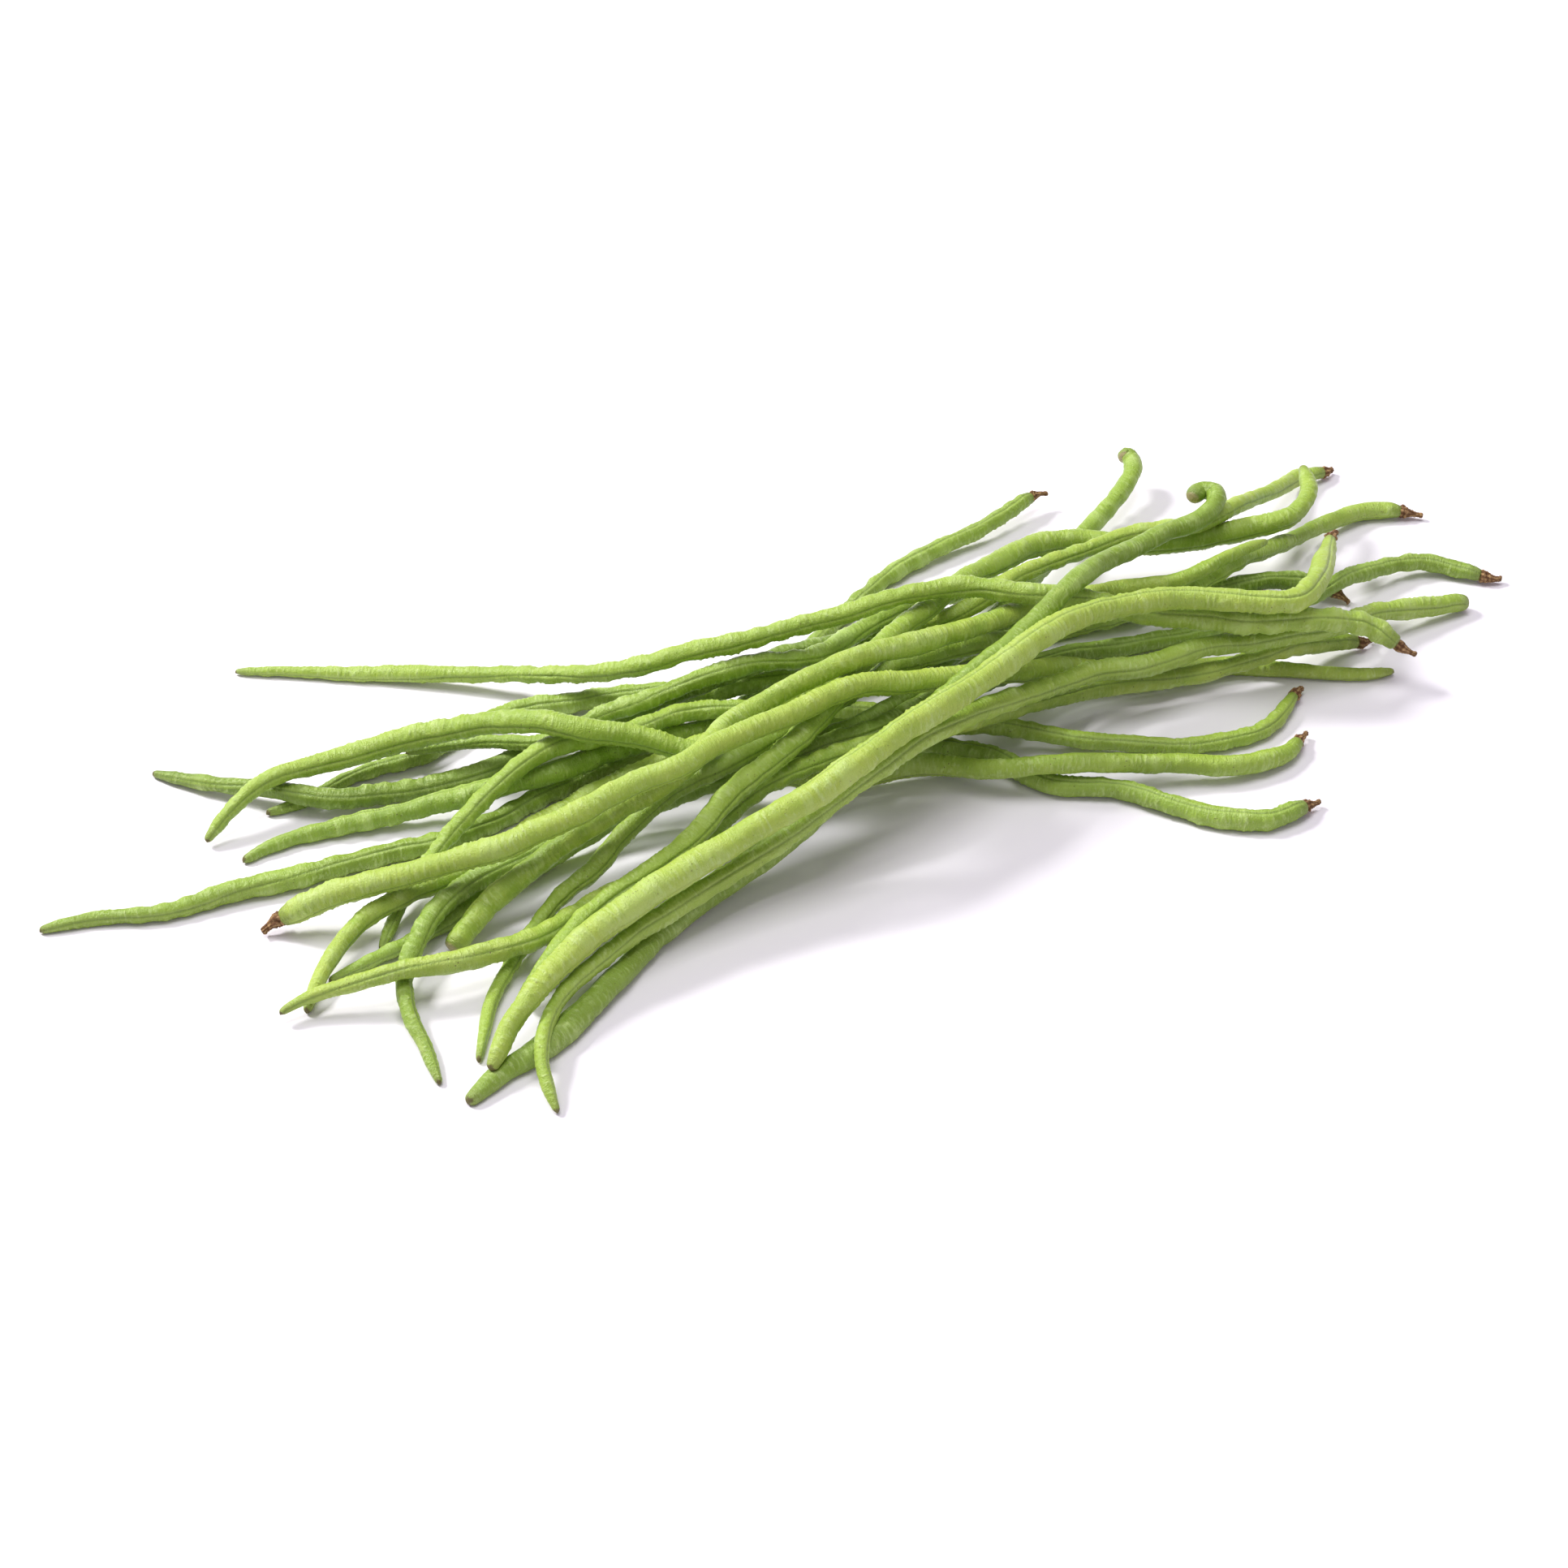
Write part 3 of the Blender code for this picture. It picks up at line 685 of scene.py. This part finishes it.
def fit_stub(stub, number, middles, broad):
    """Sets a straight stub on the end of its pod, wrinkled and a little crooked."""
    _, lobes, degrees = STUBS[number]
    seed = 100 * number + 50
    mesh = stub.data
    corners = corners_of(mesh)
    share = np.clip(corners[:, 2] / STUB_HEIGHT, 0.0, 1.0)
    angles = np.arctan2(corners[:, 1], corners[:, 0])
    turned = math.radians(degrees)
    cap = np.exp(-(((share - CAP_PLACE) / CAP_PLACE) ** 2))
    lobed = 1.0 + LOBE_HEIGHT * cap * np.cos(lobes * angles + turned)
    ribs = RIB_HEIGHT * np.cos(RIBS * angles + RIB_TWIST * share)
    ribbed = 1.0 + ribs * (1.0 - CAP_HIDES * cap)
    folds = 0.0
    for fold in DRY_FOLDS:
        folds = folds + patchy(share * FOLDS_FOR, angles, fold, seed)
    rings = RING_HEIGHT * np.cos(FULL_TURN * share * RINGS) * (1.0 - cap)
    reach = np.hypot(corners[:, 0], corners[:, 1]) * broad
    reach = reach * lobed * ribbed * (1.0 + folds + rings)
    along = lengths_along(middles)
    outward = np.column_stack(
        [np.interp(share * along[-1], along, middles[:, i]) for i in range(3)]
    )
    heading = middles[-1] - middles[0]
    heading = heading / np.linalg.norm(heading)
    side = np.cross(heading, (0.0, 0.0, 1.0))
    side = side / np.linalg.norm(side)
    top = np.cross(side, heading)
    facing = angles + turned
    free = np.clip(share / CROOKED_FROM, 0.0, 1.0)
    crooked = broad * free * slow(share, CROOKED, seed)
    placed = (
        outward
        + np.outer(reach * np.cos(facing) + crooked, side)
        + np.outer(reach * np.sin(facing), top)
    )
    placed[:, 2] = np.maximum(placed[:, 2], 0.0)
    move_corners(mesh, placed)
    store_value(mesh, "from_pod", share)
    # The relief also places the painted highlight and shade of the stub's finish.
    store_value(mesh, "relief", folds + RIB_HEIGHT * np.cos(RIBS * angles))


def make_stub(number, solid, pod_end, masters, finish):
    """One finished stem stub, copied from its straight shape."""
    shape, _, _ = STUBS[number]
    stub = bpy.data.objects.new(f"stub_{number:02d}", masters[shape].data.copy())
    bpy.context.collection.objects.link(stub)
    middles, radii = stub_line(solid, pod_end)
    heading = middles[1] - middles[0]
    heading = heading / np.linalg.norm(heading)
    seat = middles[0] - STUB_SEAT * MM * heading
    middles = np.vstack([seat, middles])
    fit_stub(stub, number, middles, max(radii.max(), STUB_LEAST * MM))
    complete(stub, f"stem_{number:02d}", finish)


# --------------------------------------------------------------------- the finishes
# painted highlight on the raised crests of a pod's relief
CREST_HIGHLIGHT = (0.50, 0.66, 0.20)
# painted highlight on a pod's wrinkles
FOLD_HIGHLIGHT = (0.54, 0.68, 0.24)
PALE_PATCH = (0.50, 0.62, 0.16)
# painted highlight on a pod's fine creases
STREAK_HIGHLIGHT = (0.56, 0.70, 0.27)
SEAM_LIP = (0.46, 0.60, 0.16)
SEAM_DARK = (0.105, 0.180, 0.022)
SEAM_FAINT = (0.075, 0.14, 0.018)
SPECK_BROWN = (0.115, 0.085, 0.020)
TIP_OLIVE = (0.20, 0.25, 0.045)
TIP_DRY = (0.105, 0.060, 0.026)
STEM_END_DULL = (0.12, 0.16, 0.028)
SCAR_TAN = (0.40, 0.33, 0.17)
# A stub's dark brown and tan: partly its own colours, and partly painted shade in its folds
# and painted highlight on its ridges.
STUB_DARK = (0.150, 0.070, 0.028)
STUB_TAN = (0.66, 0.43, 0.20)
STUB_CUT = (0.25, 0.19, 0.12)
STUB_GREEN = (0.10, 0.12, 0.025)

LENGTHWISE = (0.28, 1.0, 1.0)   # draws a pattern out along the pod
CROSSWISE = (1.0, 0.30, 0.30)   # and across it
SKIN_APART = 61.0               # how far apart two pods' patterns start
BUMP_DEPTH = 0.0006             # of the fine relief, in metres
SOFT_SHARE = 0.10               # share of the light that goes into the skin
SOFT_DEPTH = 0.0015             # how deep it goes, in metres
SOFT_COLOURS = (0.6, 1.0, 0.25)  # and the share of that for red, green and blue

# What the two shared node groups put out.
RESULTS = {
    "Colour": "NodeSocketColor",
    "Roughness": "NodeSocketFloat",
    "Height": "NodeSocketFloat",
}


def add_node(tree, kind, label, **settings):
    """One shader node with its own settings."""
    node = tree.nodes.new(kind)
    node.label = label
    for name, value in settings.items():
        setattr(node, name, value)
    return node


def kept(tree, name, output="Fac"):
    """What is kept under a name at the points of a mesh."""
    node = add_node(tree, "ShaderNodeAttribute", name, attribute_name=name)
    return node.outputs[output]


def sum_node(tree, operation, label, first, second):
    """A Math node whose inputs are other nodes' outputs or plain numbers."""
    node = add_node(tree, "ShaderNodeMath", label, operation=operation)
    for socket, value in zip(node.inputs, (first, second)):
        if isinstance(value, (int, float)):
            socket.default_value = value
        else:
            tree.links.new(value, socket)
    return node.outputs[0]


def ease_node(tree, label, value, span, result):
    """Turns one range of a value into another, smoothly and without overshoot."""
    node = add_node(
        tree, "ShaderNodeMapRange", label, interpolation_type="SMOOTHSTEP", clamp=True
    )
    tree.links.new(value, node.inputs["Value"])
    titles = ("From Min", "From Max", "To Min", "To Max")
    for title, number in zip(titles, (*span, *result)):
        node.inputs[title].default_value = number
    return node.outputs["Result"]


def mix_node(tree, label, share, first, second):
    """A mix of two colours, each an output of another node or a plain colour."""
    node = add_node(tree, "ShaderNodeMix", label, data_type="RGBA")
    colour_sockets = [s for s in node.inputs if s.type == "RGBA"]
    sockets = (node.inputs[0], colour_sockets[0], colour_sockets[1])
    for socket, value in zip(sockets, (share, first, second)):
        if isinstance(value, tuple):
            socket.default_value = (*value, 1.0)
        else:
            tree.links.new(value, socket)
    return [s for s in node.outputs if s.type == "RGBA"][0]


def noise_node(tree, label, where, scale, detail, rough=0.5):
    """A cloudy value between 0 and 1 over the given positions."""
    node = add_node(tree, "ShaderNodeTexNoise", label)
    tree.links.new(where, node.inputs["Vector"])
    node.inputs["Scale"].default_value = scale
    node.inputs["Detail"].default_value = detail
    node.inputs["Roughness"].default_value = rough
    return node.outputs[0]


def drawn_out(tree, label, where, scale):
    """Positions that stretch a pattern one way or the other."""
    node = add_node(tree, "ShaderNodeMapping", label)
    node.inputs["Scale"].default_value = scale
    tree.links.new(where, node.inputs["Vector"])
    return node.outputs[0]


def new_group(name, inputs):
    """A node group with named inputs, which puts out a colour and two values."""
    group = bpy.data.node_groups.new(name, "ShaderNodeTree")
    for title, kind, value in inputs:
        socket = group.interface.new_socket(name=title, in_out="INPUT", socket_type=kind)
        socket.default_value = value
    for title, kind in RESULTS.items():
        group.interface.new_socket(name=title, in_out="OUTPUT", socket_type=kind)
    return group, group.nodes.new("NodeGroupInput").outputs


def put_out(group, *values):
    """Joins the last nodes of a group to its colour, roughness and height."""
    result = group.nodes.new("NodeGroupOutput")
    for title, value in zip(RESULTS, values):
        group.links.new(value, result.inputs[title])
    return group


def own_places(group, offset):
    """Positions on the straight pod, moved so that no two pods look alike."""
    apart = add_node(group, "ShaderNodeCombineXYZ", "each pod differs")
    group.links.new(offset, apart.inputs[0])
    group.links.new(offset, apart.inputs[1])
    moved = add_node(group, "ShaderNodeVectorMath", "moved", operation="ADD")
    group.links.new(kept(group, "straight", "Vector"), moved.inputs[0])
    group.links.new(apart.outputs[0], moved.inputs[1])
    return moved.outputs[0]


def green_shades_with_painted_relief(group, given, drawn, mottles):
    """The two shades of a pod in random patches, with painted shade in its hollows, painted
    highlights on its crests and folds, and paler patches.
    """
    relief = kept(group, "relief")
    broad = noise_node(group, "broad shades", drawn, 0.11, 3.0)
    broad = ease_node(group, "broad", broad, (0.36, 0.66), (0.0, 0.75))
    # Painted shade: where the relief sinks, the skin turns to its lower shade.
    low = ease_node(group, "hollows", relief, (-0.35, 0.30), (0.85, 0.0))
    fine = ease_node(group, "fine", mottles, (0.35, 0.7), (-0.18, 0.32))
    tone = sum_node(group, "ADD", "shade", broad, low)
    tone = sum_node(group, "ADD", "mottled", tone, fine)
    tone = sum_node(group, "MULTIPLY", "shade share", tone, 0.62)
    tone = sum_node(group, "MINIMUM", "no more than all", tone, 1.0)
    upper = given["Upper Shade"]
    colour = mix_node(group, "upper to lower shade", tone, upper, given["Lower Shade"])
    # Painted highlight: the raised crests of the relief turn pale.
    high = ease_node(group, "crests", relief, (0.10, 0.60), (0.0, 0.42))
    colour = mix_node(group, "pale crests", high, colour, CREST_HIGHLIGHT)
    # Painted highlight: the wrinkles turn pale.
    stroke = ease_node(group, "pale folds", kept(group, "folds"), (0.35, 1.10), (0.0, 0.34))
    colour = mix_node(group, "folded skin", stroke, colour, FOLD_HIGHLIGHT)
    pale = noise_node(group, "pale patches", drawn, 0.30, 2.0)
    pale = ease_node(group, "where pale", pale, (0.60, 0.78), (0.0, 0.35))
    return mix_node(group, "paler skin", pale, colour, PALE_PATCH)


def crease_highlight_and_shade(group, colour, lower, drawn, creases):
    """Short streaks across the pod, in some places only: painted highlights on the crests
    of its fine creases and painted shade between them.
    """
    creased = noise_node(group, "where creased", drawn, 0.22, 2.0)
    creased = ease_node(group, "creased places", creased, (0.42, 0.60), (0.15, 1.0))
    # Painted highlight on the crests of the fine creases.
    painted_streak = ease_node(group, "pale streaks", creases, (0.51, 0.66), (0.0, 0.40))
    painted_streak = sum_node(group, "MULTIPLY", "pale streak share", painted_streak, creased)
    colour = mix_node(group, "streaked skin", painted_streak, colour, STREAK_HIGHLIGHT)
    # Painted shade between the fine creases, in the pod's lower shade.
    painted_streak = ease_node(group, "dark streaks", creases, (0.48, 0.34), (0.0, 0.60))
    painted_streak = sum_node(group, "MULTIPLY", "dark streak share", painted_streak, creased)
    return mix_node(group, "creased skin", painted_streak, colour, lower)


def seam_lines(group, colour, moved):
    """A dark line with a pale lip along the main seam, and a faint one at the back."""
    edge = noise_node(group, "uneven seam", moved, 0.55, 4.0, 0.65)
    edge = ease_node(group, "seam edge", edge, (0.3, 0.7), (-0.10, 0.18))
    worn = sum_node(group, "ADD", "main seam", kept(group, "seam_main"), edge)
    lip = ease_node(group, "lip", worn, (1.70, 0.95), (0.0, 0.25))
    colour = mix_node(group, "pale lip", lip, colour, SEAM_LIP)
    line = ease_node(group, "line", worn, (0.62, 0.10), (0.0, 0.42))
    colour = mix_node(group, "dark seam", line, colour, SEAM_DARK)
    thin = sum_node(group, "ADD", "back seam", kept(group, "seam_back"), edge)
    line = ease_node(group, "thin line", thin, (0.45, 0.05), (0.0, 0.22))
    return mix_node(group, "faint seam", line, colour, SEAM_FAINT)


def brown_specks(group, colour, moved, strength):
    """Small brown specks that lie in loose patches."""
    dots = add_node(group, "ShaderNodeTexVoronoi", "specks", feature="F1")
    dots.inputs["Scale"].default_value = 0.62
    group.links.new(moved, dots.inputs["Vector"])
    dot = ease_node(group, "speck", dots.outputs["Distance"], (0.20, 0.10), (0.0, 1.0))
    some = noise_node(group, "where speckled", moved, 0.13, 2.0)
    some = ease_node(group, "speckled places", some, (0.50, 0.62), (0.0, 1.0))
    dot = sum_node(group, "MULTIPLY", "few specks", dot, some)
    dot = sum_node(group, "MULTIPLY", "speck strength", dot, strength)
    return mix_node(group, "brown specks", dot, colour, SPECK_BROWN)


def pod_ends(group, colour, moved, scarred):
    """An olive tip with a dry point, and a dull stem end that may have a scar."""
    from_stem = kept(group, "from_stem")
    ragged = noise_node(group, "ragged tip", moved, 0.5, 3.0)
    ragged = ease_node(group, "tip edge", ragged, (0.3, 0.7), (-0.7, 0.7))
    tip = sum_node(group, "ADD", "tip", kept(group, "from_tip"), ragged)
    olive = ease_node(group, "olive", tip, (7.0, 1.2), (0.0, 0.45))
    colour = mix_node(group, "olive tip", olive, colour, TIP_OLIVE)
    dry = ease_node(group, "dry", tip, (1.5, 0.4), (0.0, 0.80))
    colour = mix_node(group, "dry tip", dry, colour, TIP_DRY)
    neck = sum_node(group, "ADD", "stem end", from_stem, ragged)
    dull = ease_node(group, "dull", neck, (7.0, 1.0), (0.0, 0.5))
    colour = mix_node(group, "dull stem end", dull, colour, STEM_END_DULL)
    scar = ease_node(group, "scar", from_stem, (1.9, 0.7), (0.0, 0.85))
    scar = sum_node(group, "MULTIPLY", "where scarred", scar, scarred)
    return mix_node(group, "dry scar", scar, colour, SCAR_TAN), dry


def pod_skin_group():
    """Green pod skin: its shades with painted shade and highlights on its relief, streaks
    of painted highlight and shade, seams, specks, dry ends and fine grain.
    """
    group, given = new_group(
        "bean pod skin",
        [
            ("Upper Shade", "NodeSocketColor", (*LEAF, 1.0)),
            ("Lower Shade", "NodeSocketColor", (*DEEP, 1.0)),
            ("Offset", "NodeSocketFloat", 0.0),
            ("Specks", "NodeSocketFloat", 0.5),
            ("Scar", "NodeSocketFloat", 0.0),
        ],
    )
    moved = own_places(group, given["Offset"])
    drawn = drawn_out(group, "drawn out along the pod", moved, LENGTHWISE)
    across = drawn_out(group, "across the pod", moved, CROSSWISE)
    mottles = noise_node(group, "mottles", drawn, 0.9, 4.0, 0.6)
    creases = noise_node(group, "fine creases", across, 0.95, 3.0, 0.6)
    colour = green_shades_with_painted_relief(group, given, drawn, mottles)
    colour = crease_highlight_and_shade(group, colour, given["Lower Shade"], drawn, creases)
    colour = seam_lines(group, colour, moved)
    colour = brown_specks(group, colour, moved, given["Specks"])
    colour, dry = pod_ends(group, colour, moved, given["Scar"])
    satin = ease_node(group, "satin", mottles, (0.3, 0.7), (0.29, 0.44))
    matt = sum_node(group, "MULTIPLY", "matt", dry, 0.35)
    grain = noise_node(group, "grain", moved, 1.9, 3.0, 0.6)
    grain = sum_node(group, "MULTIPLY", "grain depth", grain, 0.55)
    rough = sum_node(group, "ADD", "dry is matt", satin, matt)
    height = sum_node(group, "ADD", "skin height", grain, creases)
    return put_out(group, colour, rough, height)


def stub_group():
    """Dry stem: dark brown and tan, partly its own colours and partly painted shade in its
    folds and painted highlight on its ridges, greyish at the cut.
    """
    group, given = new_group(
        "dry stem",
        [
            ("Dark", "NodeSocketColor", (*STUB_DARK, 1.0)),
            ("Tan", "NodeSocketColor", (*STUB_TAN, 1.0)),
        ],
    )
    where = add_node(group, "ShaderNodeTexCoord", "on the stub").outputs["Object"]
    from_pod = kept(group, "from_pod")
    cloud = noise_node(group, "patches", where, 900.0, 4.0, 0.65)
    # Painted highlight and shade: tan on the stub's ridges, its dark brown in its folds,
    # with its own tan patches mixed in.
    ridge_tan_and_highlight = ease_node(group, "ridges", kept(group, "relief"), (-0.12, 0.18), (0.0, 0.7))
    patch = ease_node(group, "cloud", cloud, (0.35, 0.62), (0.25, 1.25))
    share = sum_node(group, "MULTIPLY", "tan share", ridge_tan_and_highlight, patch)
    colour = mix_node(group, "dark to tan", share, given["Dark"], given["Tan"])
    cut = ease_node(group, "cut end", from_pod, (0.93, 1.0), (0.0, 0.6))
    colour = mix_node(group, "cut face", cut, colour, STUB_CUT)
    green = ease_node(group, "near the pod", from_pod, (0.10, 0.0), (0.0, 0.45))
    colour = mix_node(group, "green at the pod", green, colour, STUB_GREEN)
    rough = ease_node(group, "matt", cloud, (0.3, 0.7), (0.62, 0.85))
    bark = noise_node(group, "bark", where, 2600.0, 4.0, 0.6)
    return put_out(group, colour, rough, bark)


def finish_with(name, group, values, relief, sheen):
    """A material whose Principled shader is fed by a shared node group."""
    finish = bpy.data.materials.new(name)
    finish.use_nodes = True
    tree = finish.node_tree
    shader = tree.nodes["Principled BSDF"]
    source = add_node(tree, "ShaderNodeGroup", group.name, node_tree=group)
    for title, value in values.items():
        source.inputs[title].default_value = value
    tree.links.new(source.outputs["Colour"], shader.inputs["Base Color"])
    tree.links.new(source.outputs["Roughness"], shader.inputs["Roughness"])
    bump = add_node(tree, "ShaderNodeBump", "fine relief")
    bump.inputs["Strength"].default_value = relief
    bump.inputs["Distance"].default_value = BUMP_DEPTH
    tree.links.new(source.outputs["Height"], bump.inputs["Height"])
    tree.links.new(bump.outputs["Normal"], shader.inputs["Normal"])
    shader.inputs["Specular IOR Level"].default_value = sheen
    return finish, shader


def pod_finish(number, group):
    """The skin of one pod."""
    upper, lower, _, _, _, _, specks = PODS[number]
    values = {
        "Upper Shade": (*upper, 1.0),
        "Lower Shade": (*lower, 1.0),
        "Offset": SKIN_APART * number,
        "Specks": specks,
        "Scar": 0.0 if number in STUBS else 1.0,
    }
    name = f"bean skin {number:02d}"
    finish, shader = finish_with(name, group, values, relief=0.95, sheen=0.5)
    shader.inputs["Subsurface Weight"].default_value = SOFT_SHARE
    shader.inputs["Subsurface Radius"].default_value = SOFT_COLOURS
    shader.inputs["Subsurface Scale"].default_value = SOFT_DEPTH
    return finish


def stub_finish(group):
    """The dry brown stem stubs."""
    values = {"Dark": (*STUB_DARK, 1.0), "Tan": (*STUB_TAN, 1.0)}
    finish, _ = finish_with("dry stem brown", group, values, relief=0.9, sheen=0.25)
    return finish


# ------------------------------------------------------------- the table and the light
TABLE_WIDTH = 14.0           # in metres, as are the places and sizes of the lights
TABLE_SHADES = ((0.905, 0.880, 0.935), (0.925, 0.900, 0.955))

# Each light: where it is, how wide and how high it is, its power in watts and its tint.
# Both face the middle of the bunch.
LIGHTS = {
    "far left window": ((-1.78, 0.95, 1.92), (0.62, 0.62), 77.0, (1.0, 0.985, 0.985)),
    "overhead panel": ((-0.1, 0.2, 2.4), (1.6, 1.2), 30.0, (1.0, 1.0, 1.0)),
}
SURROUND = (1.0, 0.91, 1.02)
SURROUND_STRENGTH = 0.38

CAMERA_AIM = (-0.01289, -0.01611, 0.0)
CAMERA_AWAY = 1.150          # in metres
CAMERA_PITCH = 40.0          # degrees down from level
CAMERA_LENS = 72.86          # in millimetres, as is the next
CAMERA_SENSOR = 36.0


def make_table():
    """A wide pale surface under the bunch."""
    deselect_all()
    bpy.ops.mesh.primitive_plane_add(size=TABLE_WIDTH, location=(0.0, 0.0, 0.0))
    table = bpy.context.active_object
    table.name = "pale_table"
    paint = bpy.data.materials.new("pale matt table")
    paint.use_nodes = True
    tree = paint.node_tree
    shader = tree.nodes["Principled BSDF"]
    where = add_node(tree, "ShaderNodeTexCoord", "on the table").outputs["Object"]
    cloud = noise_node(tree, "faint clouds", where, 3.0, 2.0)
    cloud = ease_node(tree, "clouds", cloud, (0.3, 0.7), (0.0, 1.0))
    shade = mix_node(tree, "near white", cloud, *TABLE_SHADES)
    tree.links.new(shade, shader.inputs["Base Color"])
    shader.inputs["Roughness"].default_value = 0.9
    shader.inputs["Specular IOR Level"].default_value = 0.1
    table.data.materials.append(paint)


def light_the_bunch():
    """Soft studio light from the far left, and an even pale surround."""
    for name, (place, (width, height), power, tint) in LIGHTS.items():
        lamp = bpy.data.lights.new(name, "AREA")
        lamp.shape = "RECTANGLE"
        lamp.size = width
        lamp.size_y = height
        lamp.energy = power
        lamp.color = tint
        holder = bpy.data.objects.new(name, lamp)
        holder.location = place
        facing = -Vector(place)
        holder.rotation_euler = facing.to_track_quat("-Z", "Y").to_euler()
        bpy.context.collection.objects.link(holder)
    world = bpy.data.worlds.new("pale surround")
    world.use_nodes = True
    shade = world.node_tree.nodes["Background"]
    shade.inputs["Color"].default_value = (*SURROUND, 1.0)
    shade.inputs["Strength"].default_value = SURROUND_STRENGTH
    bpy.context.scene.world = world
    bpy.context.scene.view_settings.view_transform = "Standard"


def place_camera():
    """A camera that looks down on the bunch from its near side."""
    pitch = math.radians(CAMERA_PITCH)
    back = Vector((0.0, -CAMERA_AWAY * math.cos(pitch), CAMERA_AWAY * math.sin(pitch)))
    lens = bpy.data.cameras.new("camera")
    lens.lens = CAMERA_LENS
    lens.sensor_width = CAMERA_SENSOR
    lens.sensor_fit = "HORIZONTAL"
    lens.clip_start = 0.01
    holder = bpy.data.objects.new("camera", lens)
    holder.location = Vector(CAMERA_AIM) + back
    holder.rotation_euler = (math.radians(90.0) - pitch, 0.0, 0.0)
    bpy.context.collection.objects.link(holder)
    bpy.context.scene.camera = holder


def main():
    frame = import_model()
    solids = frame["nodes"]
    place_camera()
    masters = {name: model_stub(name) for name in STUB_SHAPES}
    brown = stub_finish(stub_group())
    for number in STUBS:
        middles, _ = pod_line(solids[f"pod_{number:02d}"])
        make_stub(number, solids[f"stem_{number:02d}"], middles[-1], masters, brown)
    for master in masters.values():
        bpy.data.objects.remove(master, do_unlink=True)
    skin = pod_skin_group()
    for number in PODS:
        make_pod(number, solids[f"pod_{number:02d}"], pod_finish(number, skin))
    make_table()
    light_the_bunch()
    deselect_all()


main()
